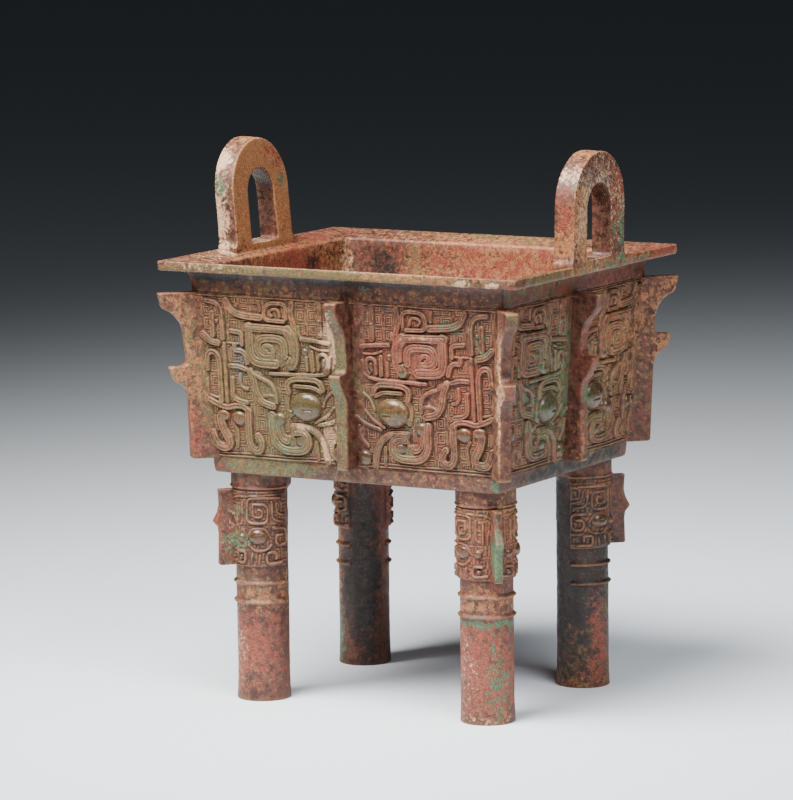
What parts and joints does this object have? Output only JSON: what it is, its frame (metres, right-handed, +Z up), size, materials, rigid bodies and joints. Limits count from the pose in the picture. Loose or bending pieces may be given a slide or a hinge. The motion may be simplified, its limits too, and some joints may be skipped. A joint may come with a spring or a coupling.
{
  "type": "square bronze ding",
  "caption": "Hollow rectangular bronze cauldron on round legs, with a flat rim, upright loop handles, hooked flanges and animal-mask relief.",
  "frame": {"origin": "on the floor, under the middle of the whole outline of the vessel", "axes": "+Z up, X along the long side through both handles, -Y towards the front wall"},
  "size_m": [0.289, 0.2488, 0.384],
  "materials": {
    "patinated_bronze": "cast bronze under an old crusty patina: olive green and greenish brown, dull red and tan-orange ridges, dark hollows"
  },
  "bodies": {
    "root": {"square_ding": "patinated_bronze"}
  },
  "joints": []
}
